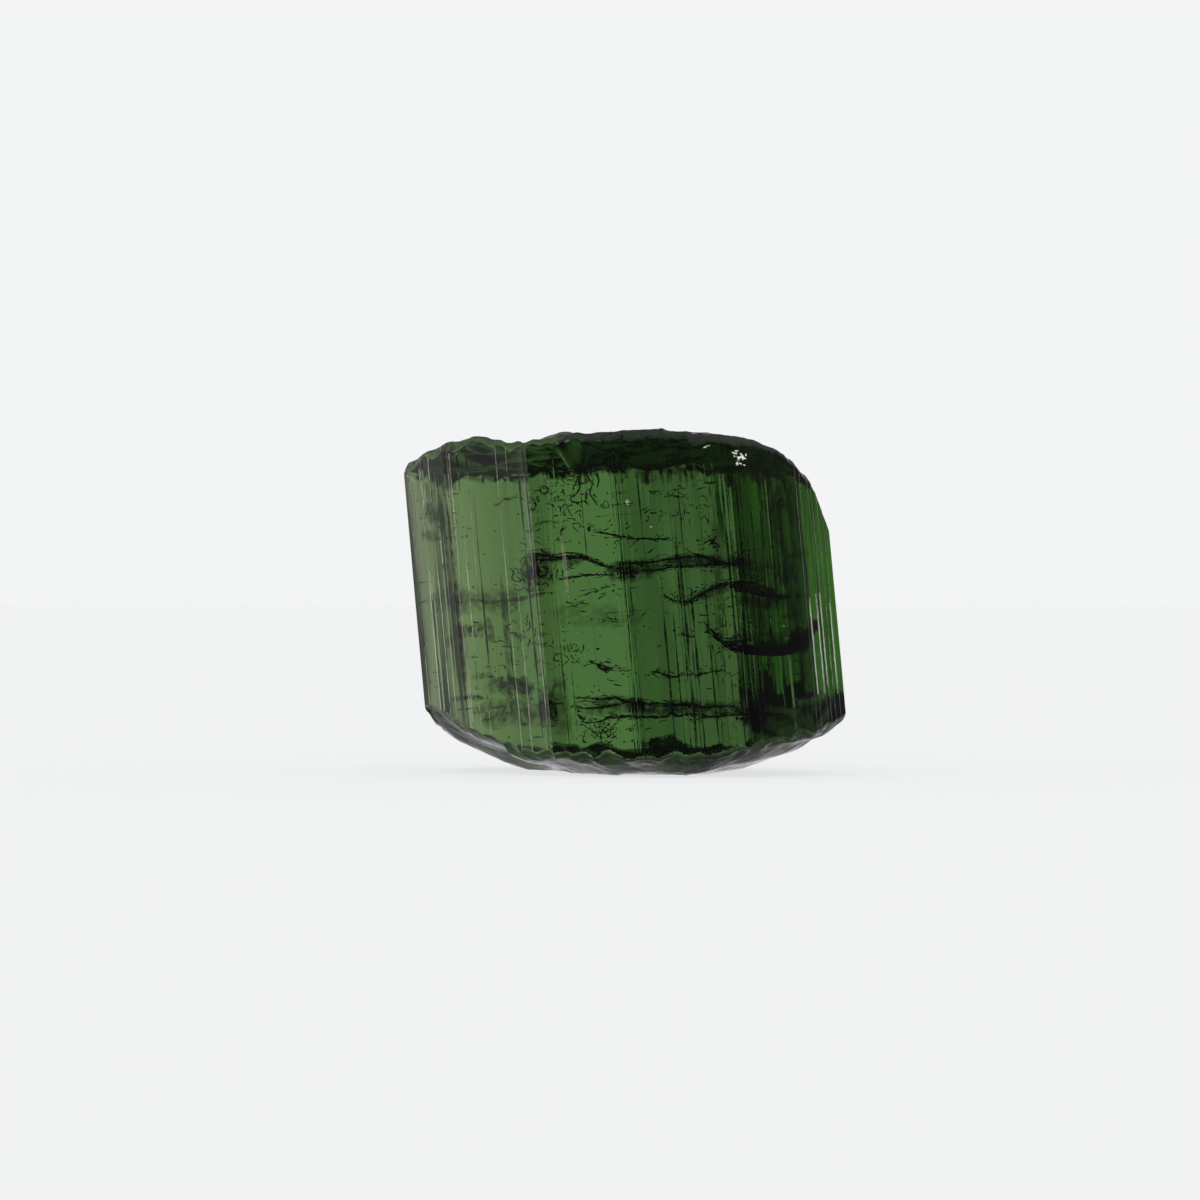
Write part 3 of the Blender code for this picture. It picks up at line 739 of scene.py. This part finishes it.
# A run is where a flaw is seen on the front plane: mm across and up.
cracks = {
    "lines": [  # thickness, depth behind the front wall, run
        (0.17, 1.2, [
            (-4.17, 9.78), (-3.65, 9.78), (-3.13, 9.65), (-2.47, 9.69), (-1.77, 9.65), (-1.38, 9.47),
            (-0.9, 9.3), (-0.29, 9.17),
        ]),
        (0.11, 1.5, [(-3.91, 9.6), (-3.43, 9.52), (-2.78, 9.56)]),
        (0.13, 1.6, [
            (-0.16, 9.34), (1.15, 9.41), (2.03, 9.56), (2.9, 9.65), (3.47, 9.65), (3.9, 9.47), (4.34, 9.43),
        ]),
        (0.12, 1.9, [
            (-0.16, 8.95), (0.28, 8.99), (1.24, 9.08), (1.72, 9.12), (2.25, 9.21), (4.21, 9.3), (5.52, 9.39),
        ]),
        (0.22, 1.4, [(-0.3, 9.14), (0.11, 8.95), (0.45, 8.86)]),
        (0.07, 1.1, [(-2.78, 8.64), (-2.34, 8.73), (-1.69, 8.82), (-1.03, 8.86), (-0.29, 8.86)]),
        (0.05, 0.9, [(-2.43, 7.46), (-1.9, 7.6), (-1.47, 7.64)]),
        (0.05, 1.0, [(-2.69, 8.86), (-2.43, 9.17), (-2.12, 9.39)]),
        (0.06, 0.9, [(-1.99, 7.9), (-1.38, 8.12), (-1.03, 8.21), (-0.51, 8.43)]),
        (0.17, 2.0, [
            (1.68, 8.29), (1.81, 7.99), (2.25, 7.77), (2.77, 7.68), (3.12, 7.86), (3.64, 8.12), (3.9, 8.32),
            (4.52, 8.43), (5.17, 8.47), (5.65, 8.38), (6.26, 8.25), (6.74, 8.08),
        ]),
        (0.06, 1.4, [(3.77, 8.38), (4.65, 8.53), (5.52, 8.58), (6.39, 8.56)]),
        (0.13, 1.2, [(3.6, 6.5), (3.77, 6.33), (4.21, 5.94), (4.52, 5.72), (4.95, 5.6), (5.3, 5.5)]),
        (0.09, 1.1, [(3.47, 6.9), (3.82, 6.46), (4.3, 6.02), (4.87, 5.98), (5.43, 6.02)]),
        (0.11, 0.9, [(2.51, 6.33), (2.77, 6.24), (2.99, 6.15), (3.12, 6.24)]),
        (0.07, 0.9, [(1.24, 4.63), (1.59, 4.58), (1.9, 4.41), (2.25, 4.41), (2.55, 4.49), (3.34, 4.54)]),
        (0.13, 0.9, [(1.76, 4.49), (2.11, 4.39), (2.51, 4.45)]),
        (0.11, 0.9, [(3.25, 4.49), (3.77, 4.63), (4.21, 4.67), (4.52, 4.67)]),
        (0.11, 1.3, [(-2.12, 3.4), (-1.69, 3.49), (-0.94, 3.45), (-0.59, 3.53), (-0.24, 3.51), (0.15, 3.32)]),
        (0.07, 1.1, [(-2.12, 3.18), (-1.69, 3.05), (-1.12, 3.1), (-0.24, 3.23), (0.19, 3.27)]),
        (0.1, 1.3, [
            (-0.16, 3.4), (0.41, 3.32), (0.94, 3.27), (1.46, 3.27), (2.03, 3.23), (2.77, 3.27), (3.03, 3.18),
            (3.77, 3.1), (4.95, 3.14),
        ]),
        (0.15, 1.4, [(1.98, 3.23), (2.38, 3.21), (2.81, 3.25)]),
        (0.11, 1.2, [
            (-1.99, 2.75), (-1.69, 2.44), (-1.38, 2.4), (-0.94, 2.49), (-0.59, 2.62), (-0.24, 2.64),
            (0.28, 2.66), (0.94, 2.64), (1.81, 2.66), (2.03, 2.79), (2.46, 2.7), (2.9, 2.79), (3.34, 2.75),
            (3.9, 2.7), (4.56, 2.75), (5.08, 2.75), (5.65, 2.79), (6.26, 2.86), (6.7, 2.79), (7.14, 2.75),
        ]),
        (0.2, 1.4, [(-2.03, 2.79), (-1.86, 2.66), (-1.64, 2.53)]),
        (0.19, 1.5, [(5, 2.75), (5.61, 2.77), (6.22, 2.84), (6.87, 2.77)]),
        (0.05, 0.9, [(2.77, 2.57), (3.47, 2.57)]), (0.06, 1.0, [(7.79, 3.01), (8.23, 2.92), (8.49, 2.97)]),
        (0.14, 0.6, [(-1.51, 5.15), (-1.16, 4.98), (-0.9, 4.89), (-0.59, 4.82), (-0.42, 4.84)]),
        (0.1, 0.6, [(-0.86, 5.02), (-0.72, 5.08), (-0.55, 5.02)]), (0.04, 0.6, [(-0.46, 4.82), (0.15, 4.8)]),
        (0.05, 0.6, [(-0.99, 6.94), (-0.59, 6.85), (-0.16, 6.79)]),
        (0.05, 0.6, [(-3.87, 5.85), (-3.61, 5.76)]), (0.05, 0.6, [(-3.34, 5.8), (-3.21, 5.72)]),
        (0.1, 2.0, [(-4.74, 4.41), (-4.61, 4.15), (-4.22, 4.01), (-3.87, 3.97)]),
        (0.06, 2.0, [(-3.08, 3.53), (-2.86, 3.4)]), (0.07, 2.0, [(-5.75, 3.1), (-5.31, 3.05)]),
        (0.07, 2.0, [(-4.52, 2.36), (-4.22, 2.36)]), (0.04, 0.8, [(-1.69, 2.01), (-1.77, 1.53)]),
        (0.04, 0.8, [(-1.07, 2.18), (-0.94, 1.57)]),
        (0.06, 0.8, [
            (-1.38, 10.74), (-0.72, 10.65), (0.06, 10.5), (0.37, 10.43), (1.46, 10.43), (2.11, 10.39),
        ]),
        (0.1, 0.8, [(1.24, 10.43), (1.59, 10.43)]), (0.2, 0.8, [(-1.51, 10.96), (-1.49, 10.7)]),
        (0.06, 0.8, [(-5.53, 11.92), (-5.05, 12.22), (-4.61, 12.27)]),
        (0.05, 0.8, [(-5.31, 13.23), (-5.13, 12.88)]),
        (0.07, 0.8, [(-2.91, 10.39), (-2.69, 10.74), (-2.65, 11.05)]),
        (0.06, 0.8, [(-3.96, 12.27), (-3.82, 11.92), (-3.96, 11.7)]),
        (0.05, 0.8, [(-2.91, 12.36), (-2.82, 12.18)]), (0.05, 0.6, [(2.33, 12.62), (2.68, 12.66)]),
        (0.05, 0.6, [(1.81, 12.36), (2.77, 12.27)]), (0.05, 0.6, [(3.25, 12.66), (3.42, 12.66)]),
        (0.05, 0.6, [(1.24, 12.44), (1.59, 12.49)]), (0.06, 0.6, [(3.47, 12.88), (3.99, 12.92)]),
        (0.06, 0.7, [(4.56, 12.49), (4.95, 12.68)]),
        (0.07, 0.8, [(3.64, 10.61), (3.86, 10.39), (4.12, 10.17)]),
        (0.07, 0.8, [(3.73, 10.17), (3.9, 10.39), (4.08, 10.61)]),
    ],
    "slim": (0.65, 0.14),  # share of that thickness which is one dark line, and its most in mm
    "strandThickness": (0.04, 0.07),
    "featherLength": (0.1, 0.45),
    "lenses": [  # solid dark bodies, painted shade for fractures that look dark seen edge-on: greatest height, depth, run of the lower edge
        (0.55, 1.5, [
            (4.45, 5.78), (5.16, 5.47), (6.1, 5.33), (6.83, 5.33), (7.56, 5.52), (8.0, 5.86), (8.3, 6.35),
            (8.42, 6.75),
        ]),
        (0.22, 1.3, [(7.3, 6.15), (7.75, 6.1), (8.15, 6.3), (8.45, 6.6)]),
        (0.3, 2.3, [(4.7, 8.32), (5.3, 8.12), (6.0, 7.95), (6.74, 7.8), (7.1, 7.85)]),
    ],
    "curls": [  # thickness, depth, run
        (0.06, 0.7, [(-2.47, 13.45), (-2.3, 13.18), (-2.08, 13.27), (-2.17, 13.53), (-2.38, 13.49)]),
        (0.06, 0.7, [(-1.99, 13.1), (-1.9, 12.75), (-2.03, 12.44), (-2.25, 12.27)]),
        (0.06, 0.7, [
            (-1.69, 13.53), (-1.55, 13.14), (-1.38, 12.84), (-1.47, 12.44), (-1.29, 12.14), (-1.12, 11.87),
        ]),
        (0.06, 0.7, [(-2.34, 12.14), (-2.03, 12.01), (-1.73, 12.09), (-1.51, 11.92)]),
        (0.06, 0.7, [
            (-3.61, 12.7), (-3.43, 12.75), (-3.3, 12.57), (-3.43, 12.4), (-3.61, 12.49), (-3.61, 12.7),
        ]),
        (0.06, 0.7, [(-1.16, 13.36), (-1.07, 13.01), (-1.16, 12.66)]),
        (0.048, 0.7, [(-5, 9.17), (-4.79, 8.99), (-4.87, 8.73), (-4.61, 8.56), (-4.39, 8.69), (-4.26, 8.43)]),
        (0.048, 0.7, [(-4.79, 8.29), (-4.52, 8.21), (-4.26, 8.34)]),
        (0.048, 0.7, [(-4, 9.43), (-3.74, 9.25), (-3.82, 8.95), (-3.52, 8.82), (-3.3, 9.04), (-3.39, 9.34)]),
        (0.048, 0.7, [(-3.96, 8.64), (-3.65, 8.43), (-3.34, 8.51), (-3.26, 8.29)]),
    ],
    "crackled": [  # patches of short curling cracks: across, up, half width, half height, how many
        (-2.4, 12.1, 1.4, 1.2, 60), (-4.0, 8.9, 0.7, 0.7, 34), (5.7, 6.2, 1.0, 0.3, 26),
        (-2.4, 5.4, 0.8, 0.4, 16), (-4.7, 6.4, 1.0, 1.2, 22), (2.6, 11.6, 1.6, 0.8, 26),
        (-0.9, 2.0, 0.9, 0.5, 20), (-4.6, 3.4, 1.4, 0.8, 24), (6.0, 2.7, 1.3, 0.5, 22),
        (3.6, 8.0, 1.2, 0.5, 18),
    ],
    # Near black: the cracks are real, but their dark colour is painted shade for the dark that fractures show
    # edge-on.
    "look": {"colour": (0.006, 0.012, 0.004), "clumps": clumped(0.465, 0.93)},
}


def addFeathers(bm, draw, run, spread, depth, step, thick, above=False):
    # Short flakes in a loose band along a run, or only above it and fewer towards its ends.
    spots = smoothRun(run, step)
    for number, spot in enumerate(spots):
        aside = draw.gauss(0, spread)
        if above:
            aside = abs(aside) * math.sin(math.pi * number / (len(spots) - 1)) + spread / 3
        across, up = spot.x + draw.uniform(-0.12, 0.12), spot.y + aside
        length, thickness = draw.uniform(*cracks["featherLength"]), draw.uniform(*thick)
        addTick(bm, draw, across, up, length, thickness, depth + draw.uniform(-0.3, 0.9), draw.gauss(0, 24))


def addStrands(bm, draw, run, count, slim, depth):  # finer cracks that run beside a main one
    for _ in range(count):
        first = draw.randrange(0, len(run) - 3)
        last = draw.randrange(first + 3, len(run) + 1)
        aside = draw.choice((-1, 1)) * draw.uniform(0.6, 1.5) * slim
        beside = [(x, z + aside * draw.uniform(0.5, 1.4)) for x, z in run[first:last]]
        thickness = draw.uniform(*cracks["strandThickness"])
        addCrack(bm, draw, thickness, depth + draw.uniform(-0.2, 0.6), beside, ragged=1.3)


def addCurl(bm, draw, across, up):  # a short crack that wanders, mostly upright
    heading = draw.gauss(math.pi / 2, 0.7)
    spot = Vector((across, up))
    run = [tuple(spot)]
    for _ in range(draw.choice((2, 3, 3, 4))):
        spot = spot + Vector((math.cos(heading), math.sin(heading))) * draw.uniform(0.06, 0.16)
        run.append(tuple(spot))
        heading += draw.gauss(0, 0.8)
    addCrack(bm, draw, draw.uniform(0.02, 0.045), draw.uniform(0.4, 1.6), run, step=0.05)


def buildCracks():
    draw = random.Random(23)
    bm, parts = bmesh.new(), []
    share, most = cracks["slim"]
    for thickness, depth, run in cracks["lines"]:
        slim = min(share * thickness, most)
        addCrack(bm, draw, slim, depth, run)
        strands = min(3, round(thickness / 0.06)) if len(run) > 4 else 0
        addStrands(bm, draw, run, strands, slim, depth)
        addFeathers(bm, draw, run, 0.05 + 0.7 * slim, depth, 0.14, (0.03, 0.07))
        packAway(bm, parts)
    for height, depth, run in cracks["lenses"]:  # sharp below and frayed above
        for part in (1.0, 0.75, 0.5):
            addCrack(bm, draw, part * height, depth, run, step=0.05, ragged=0.35, lift=1.0)
        for _ in range(3):
            addFeathers(bm, draw, run, 0.7 * height, depth, 0.07, (0.04, 0.09), above=True)
        packAway(bm, parts)
    for thickness, depth, run in cracks["curls"]:
        addCrack(bm, draw, thickness, depth, run, step=0.05, ragged=0.4)
    for across, up, wide, tall, count in cracks["crackled"]:
        for _ in range(count):
            addCurl(bm, draw, draw.gauss(across, wide * 0.55), draw.gauss(up, tall * 0.55))
            packAway(bm, parts)
    finishFlaw(bm, parts, "tourmaline_cracks", dullMaterial("crackPaintedShade", cracks["look"]))


specks = {
    "ticks": 260,  # thin flakes, and below their lengths and thickness
    "tickLength": (0.1, 0.14, 0.22, 0.35, 0.5),
    "tickThickness": (0.03, 0.085),
    "dots": 700,
    "dotRadius": (0.022, 0.05),  # the least, and how much more the largest have
    "across": (-9.2, 8.6), "up": (1.4, 13.2), "depth": (0.3, 5.5),
    "dense": [  # patches full of both: across, up, half width, half height, how many
        (-0.79, 2.05, 0.6, 0.5, 70), (-2.7, 12.6, 1.0, 0.9, 60), (-4.1, 9.1, 0.6, 0.7, 45),
        (-2.2, 5.2, 0.7, 0.5, 40), (3.9, 8.2, 0.6, 0.6, 40), (4.1, 6.3, 0.6, 0.5, 50),
        (-4.9, 4.0, 0.9, 0.4, 45), (5.6, 2.6, 1.5, 0.5, 60), (-7.9, 11.4, 0.4, 1.0, 50),
        (3.6, 10.2, 0.5, 0.4, 30), (6.3, 5.6, 1.2, 0.4, 50), (-6.6, 6.3, 0.7, 0.3, 30),
    ],
    "denseTick": ((0.08, 0.3), (0.03, 0.07), (0.5, 2.5)),  # length, thickness, depth
    "denseDot": {"radius": (0.018, 0.04), "depth": (0.4, 2.5)},
    "flat": (0.3, 0.9),  # height of a dot as a share of its width
    "look": {"colour": (0.006, 0.012, 0.005), "clumps": clumped(0.63, 0.9)},
}


def addDot(bm, draw, spot, radius):
    addSpeck(bm, insideAt(*spot), radius, draw.uniform(*specks["flat"]), draw.uniform(0, 3))


def looseSpot(draw):  # anywhere in view, in layers that lean as the crystal does
    across, up, depth = (draw.uniform(*specks[name]) for name in ("across", "up", "depth"))
    return across, up + leanSlope * across, depth


def buildSpecks():
    draw = random.Random(31)
    bm, parts = bmesh.new(), []
    for _ in range(specks["ticks"]):
        across, up, depth = looseSpot(draw)
        length = draw.choice(specks["tickLength"]) * draw.uniform(0.8, 1.2)
        thickness = draw.uniform(*specks["tickThickness"])
        addTick(bm, draw, across, up, length, thickness, depth, draw.gauss(0, 26))
        packAway(bm, parts)
    least, more = specks["dotRadius"]
    for _ in range(specks["dots"]):
        addDot(bm, draw, looseSpot(draw), least + more * draw.random() ** 3)
        packAway(bm, parts)
    least, more = specks["denseDot"]["radius"]
    for across, up, wide, tall, count in specks["dense"]:
        for _ in range(count):
            x, z = draw.gauss(across, wide * 0.6), draw.gauss(up, tall * 0.6)
            if draw.random() < 0.5:
                sizes = [draw.uniform(*span) for span in specks["denseTick"]]
                addTick(bm, draw, x, z, *sizes, draw.gauss(0, 30))
            else:
                depth = draw.uniform(*specks["denseDot"]["depth"])
                addDot(bm, draw, (x, z, depth), least + more * draw.random() ** 2)
            packAway(bm, parts)
    finishFlaw(bm, parts, "tourmaline_specks", dullMaterial("speckDark", specks["look"]))


veils = {
    "veilAndShade": [  # soft dark bands, partly real veils and partly painted shade round the cracks: thickness, depth, how dense, run
        (0.9, 4.0, 0.3, [(-8.6, 7.7), (-7.6, 7.85), (-6.4, 7.75), (-5.2, 7.85), (-4.1, 8.0)]),
        (0.17, 2.4, 0.5, [
            (-6.79, 7.81), (-6.36, 7.77), (-5.75, 7.68), (-4.87, 7.81), (-4.09, 7.9), (-3.43, 8.21),
        ]),
        (0.75, 2.6, 0.55, [(-8.75, 11.8), (-8.3, 11.45), (-7.84, 11.1)]),
        (0.5, 2.6, 0.4, [(-8.89, 10.65), (-8.37, 10.56), (-8.02, 10.48)]),
        (0.45, 3.0, 0.5, [(-7.9, 5.7), (-7.3, 6.25), (-6.62, 6.46), (-6.0, 6.7)]),
        (0.4, 3.0, 0.5, [(-6.0, 7.1), (-5.8, 6.5), (-5.75, 5.8)]),
        (0.26, 3.0, 0.4, [(-4.83, 6.2), (-4.22, 6.2)]),
        (0.26, 3.2, 0.4, [(-6.62, 4.41), (-6.05, 4.49), (-5.62, 4.49)]),
        (0.3, 3.0, 0.4, [(-7.67, 3.49), (-6.79, 3.49), (-5.92, 3.49)]),
        (0.75, 2.6, 0.55, [(-6.0, 4.15), (-5.4, 4.05), (-4.7, 4.0), (-3.87, 4.05)]),
        (1.1, 3.5, 0.4, [(-6.6, 2.9), (-5.2, 2.85), (-3.9, 2.8), (-2.4, 2.9)]),
        (1.1, 2.8, 0.28, [(-3.2, 4.3), (-2.85, 3.2), (-2.6, 1.8)]),
        (0.13, 1.5, 0.4, [(-4.09, 10.91), (-3.43, 11.18), (-2.69, 11.13)]),
        (0.3, 1.5, 0.4, [(7.27, 9.82), (7.7, 9.74), (8.23, 9.82)]),
        (0.55, 2.4, 0.5, [(5, 7.95), (5.61, 7.8), (6.31, 7.68), (6.93, 7.68)]),
        (0.8, 2.0, 0.35, [(4.6, 6.0), (5.78, 5.95), (6.66, 6.0), (7.9, 6.35)]),
        (0.5, 2.0, 0.45, [(1.94, 9.5), (2.9, 9.47), (4.04, 9.43), (5.6, 9.5)]),
        (0.8, 2.0, 0.5, [(-0.9, 9.05), (0.28, 8.98), (1.35, 9.15)]),
        (0.55, 1.8, 0.42, [(-2.3, 2.95), (-1.03, 2.95), (0.72, 3.0), (2.9, 3.0), (5.3, 2.98)]),
        (0.8, 2.2, 0.55, [(4.7, 2.75), (5.78, 2.65), (6.92, 2.65), (8.0, 2.9)]),
        (0.5, 2.0, 0.4, [(-3.75, 9.69), (-2.78, 9.58), (-1.47, 9.47)]),
        (1.3, 2.4, 0.38, [(-4.35, 9.5), (-3.75, 8.86), (-3.4, 8.2)]),
        (0.7, 2.2, 0.6, [(-7.85, 14.4), (-7.55, 13.4), (-7.62, 12.3)]),
        (0.7, 3.0, 0.35, [(-7.3, 13.4), (-6.3, 13.6), (-5.4, 13.4)]),
        (0.9, 4.0, 0.22, [(-3.3, 7.3), (-1.6, 7.0), (0.2, 7.1)]),
        (0.5, 2.5, 0.65, [(-8.15, 13.1), (-7.6, 8.3), (-7.06, 3.27)]),
        (0.3, 2.5, 0.35, [(-5.35, 9.0), (-5.1, 6.0), (-4.85, 2.6)]),
        (0.35, 2.5, 0.35, [(3.9, 11.4), (4.05, 9.0), (4.3, 5.0)]),
        (0.5, 2.5, 0.45, [(6.55, 14.0), (6.85, 10.5), (7.2, 6.0)]),
        (1.0, 0.8, 0.8, [(5.3, 13.9), (5.85, 13.55), (6.4, 13.1)]),
        (0.55, 0.8, 0.6, [(-3.0, 1.3), (-1.0, 1.0), (1.5, 0.85), (4.0, 0.95), (6.0, 1.35)]),
        (0.5, 1.6, 0.4, [(0.0, 9.0), (1.6, 9.3), (3.4, 9.55), (5.4, 9.35), (6.8, 9.3)]),
        (0.4, 1.6, 0.4, [(2.2, 7.75), (3.4, 7.95), (4.6, 8.3), (5.9, 8.25), (6.9, 8.0)]),
        (0.6, 1.8, 0.35, [(-2.0, 3.3), (0.0, 3.2), (2.4, 3.1), (4.8, 3.05), (7.0, 3.0)]),
        (0.45, 1.5, 0.45, [(-2.4, 13.45), (0.0, 13.65), (2.4, 13.6), (4.6, 13.3)]),
    ],
    "pale": [  # the same for fractures that catch some light; their pale green is painted light
        (0.5, 1.0, 0.5, [(6.6, 2.1), (7.2, 2.0), (7.8, 2.2), (8.3, 2.7)]),
        (0.35, 1.0, 0.55, [(7.3, 3.5), (7.8, 3.3), (8.4, 3.5), (8.8, 3.9)]),
        (0.6, 1.2, 0.45, [(5.4, 1.9), (6.1, 1.6), (6.9, 1.5), (7.6, 1.75)]),
        (0.5, 0.7, 0.45, [(8.2, 1.9), (8.7, 2.5), (9.0, 3.2)]),
        (0.4, 1.2, 0.45, [(6.1, 3.1), (6.9, 2.9), (7.7, 2.95)]),
        (0.9, 1.6, 0.35, [(6.0, 2.4), (7.0, 2.5), (8.0, 2.9), (8.7, 3.3)]),
    ],
    "shadeStreaks": {  # painted shade: soft dark upright streaks that hang from the dark top band
        "count": 90, "across": (-3.6, 5.4), "up": 13.75, "length": (0.25, 1.0), "width": (0.08, 0.22),
        "depth": 1.2, "cover": (0.25, 0.65), "fall": 0.055,
    },
    "clumps": {
        "Scale": 2600, "Detail": 5.0, "Clear Below": 0.34, "Full Above": 0.62, "Least": 0.25, "Most": 1.25,
    },
    # Dark olive, partly the veils' own colour and partly painted shade.
    "veilAndShadeColour": (0.045, 0.055, 0.016),
    # A lighter green that stands in for light caught by the fractures: painted light.
    "paleColour": (0.22, 0.46, 0.14),
}


# Painted shade: dark streaks hanging below the dark top band.
def hangingShadeStreaks():
    draw = random.Random(43)
    streak = veils["shadeStreaks"]
    rows = []
    for _ in range(streak["count"]):
        x = draw.uniform(*streak["across"])
        top = streak["up"] - streak["fall"] * max(0.0, x)
        low = top - draw.uniform(*streak["length"])
        aside = leanSlope * (top - low)
        rows.append((
            draw.uniform(*streak["width"]), streak["depth"], draw.uniform(*streak["cover"]),
            [(x, top), (x + aside / 2, (top + low) / 2), (x + aside, low)],
        ))
    return rows


def buildVeils(name, rows, kind):
    draw = random.Random(41)
    bm = bmesh.new()
    shade = bm.verts.layers.float.new("veilShade")
    for thickness, depth, cover, run in rows:
        spots = smoothRun(run, 0.12)
        place = draw.uniform(0, 80)
        shares = [number / (len(spots) - 1) for number in range(len(spots))]
        taper = [min(1.0, 2.6 * math.sqrt(share * (1 - share))) for share in shares]
        tall = [
            end * thickness * (0.62 + 0.3 * noise.noise((share * 7, place, 2)))
            for end, share in zip(taper, shares)
        ]
        middles = [
            insideAt(spot.x, spot.y + 0.3 * thickness * noise.noise((share * 5, place, 0)), depth)
            for spot, share in zip(spots, shares)
        ]
        for vert, row, turn in addStrip(bm, middles, tall, [0.05 * end for end in taper], 16):
            vert[shade] = cover * taper[row] * math.sin(turn) ** 2
    look = {"colour": veils[kind + "Colour"], "clumps": veils["clumps"]}
    finishFlaw(bm, [], name, dullMaterial(kind + "Veil", look, shade="veilShade"))


# Thin dark upright lines just behind the front wall, along its edges and steps.
uprightDarkLines = {
    "lines": [  # place across the prism, thickness, lowest and highest point, all in mm
        (-0.06, 0.035, -7.3, 6.6), (0.16, 0.02, -7.3, 1.4), (2.44, 0.04, -7.2, 2.0), (2.62, 0.03, -7.0, 5.6),
        (2.78, 0.04, -7.2, 1.2), (2.3, 0.03, -4.0, 3.0), (4.56, 0.05, -6.9, 6.0), (4.74, 0.03, -6.9, 5.5),
        (4.98, 0.04, -6.8, 2.5), (5.16, 0.05, -6.6, 5.4), (5.45, 0.03, -6.6, 3.0), (5.72, 0.03, -6.5, 4.2),
        (6.1, 0.03, -6.3, 3.9), (6.52, 0.04, -6.2, 4.6), (-4.22, 0.05, -6.0, 7.0), (-3.95, 0.03, -6.0, 6.8),
        (-7.95, 0.03, -3.4, 6.2), (-7.62, 0.02, -3.0, 6.0), (-8.3, 0.02, -3.0, 5.5), (-3.1, 0.03, -6.2, -1.5),
        (1.5, 0.03, -6.8, 0.5), (1.92, 0.03, -6.8, -0.5), (3.4, 0.03, -6.9, 1.0), (0.9, 0.03, 1.5, 5.8),
        (-5.3, 0.03, -4.5, 1.0), (-6.35, 0.04, -4.0, 5.6), (-1.6, 0.02, 2.0, 6.3), (7.0, 0.03, -5.5, 3.2),
    ],
    "spacing": 0.22,
    "behind": (0.06, 2.4),  # depth behind the wall in mm, and how much of its thickness more on a slope
    "halfDepth": 0.03,
    "look": {"colour": (0.004, 0.010, 0.003), "clumps": clumped(0.396, 0.72)},
}


def buildUprightDarkLines():
    draw = random.Random(53)
    bm = bmesh.new()
    nearest, steeper = uprightDarkLines["behind"]
    for across, thickness, low, high in uprightDarkLines["lines"]:
        place = draw.uniform(0, 60)
        middles, tall, deep = [], [], []
        count = round((high - low) / uprightDarkLines["spacing"])
        for number in range(count + 1):
            z = low + (high - low) * number / count
            x = across + 0.012 * noise.noise((z * 0.6, place, 0))
            turned = abs(along(frontWall, x + 0.1) - along(frontWall, x - 0.1))
            y = along(frontWall, x) + nearest + steeper * thickness * turned / 0.2
            middles.append(toWorld @ Vector((x, y, z)))
            share = number / count
            taper = min(1.0, 8 * share, 8 * (1 - share))
            strength = max(0.25, 0.75 + 1.2 * noise.noise((z * 0.8, place, 4)))
            tall.append(thickness * 1.2 * strength * taper)
            deep.append(uprightDarkLines["halfDepth"] * taper)
        addStrip(bm, middles, tall, deep, 6)
    finishFlaw(bm, [], "tourmaline_upright_dark_lines", dullMaterial("uprightDarkLine", uprightDarkLines["look"]))


paintedGlints = {
    "chips": [  # across, up, size and depth of each painted highlight, glowing white flakes for light glinting off chips
        (0.19, 12.0, 0.1, 0.35), (1.2, 10.96, 0.05, 0.4), (4.95, 14.2, 0.28, 0.3), (5.2, 14.0, 0.24, 0.3),
        (5.05, 13.75, 0.17, 0.3), (3.55, 14.45, 0.1, 0.25), (3.75, 14.5, 0.08, 0.25), (7.0, 6.64, 0.03, 0.5),
        (5.2, 6.8, 0.03, 0.5), (-0.6, 14.6, 0.06, 0.2), (2.1, 14.5, 0.05, 0.2),
    ],
    "flakes": 8,  # in each of them
    "radius": (0.2, 0.5),  # as a share of the chip's size
    "flat": (0.15, 0.5),
    "colour": (0.9, 0.9, 0.82, 1),
    "glow": (1.0, 1.0, 0.92, 1),
}


def buildPaintedGlints():
    draw = random.Random(61)
    bm = bmesh.new()
    for across, up, size, depth in paintedGlints["chips"]:
        for _ in range(paintedGlints["flakes"]):
            x, z = draw.gauss(across, size * 0.5), draw.gauss(up, size * 0.5)
            radius = size * draw.uniform(*paintedGlints["radius"])
            addSpeck(bm, insideAt(x, z, depth), radius, draw.uniform(*paintedGlints["flat"]), draw.uniform(0, 3))
    # Painted highlights: white and glowing, though they are no lamp.
    material, tree, shader = newMaterial("paintedGlint")
    fill(tree, shader, {
        "Base Color": paintedGlints["colour"], "Roughness": 0.3,
        "Emission Color": paintedGlints["glow"], "Emission Strength": 0.7,
    })
    finishFlaw(bm, [], "tourmaline_painted_glints", material)


buildCracks()
buildSpecks()
# Dark veils, partly real and partly painted shade, with the painted shade streaks; then the pale veils of
# painted light.
buildVeils("tourmaline_veils_and_shade", veils["veilAndShade"] + hangingShadeStreaks(), "veilAndShade")
buildVeils("tourmaline_pale_painted_light", veils["pale"], "pale")
buildUprightDarkLines()
buildPaintedGlints()
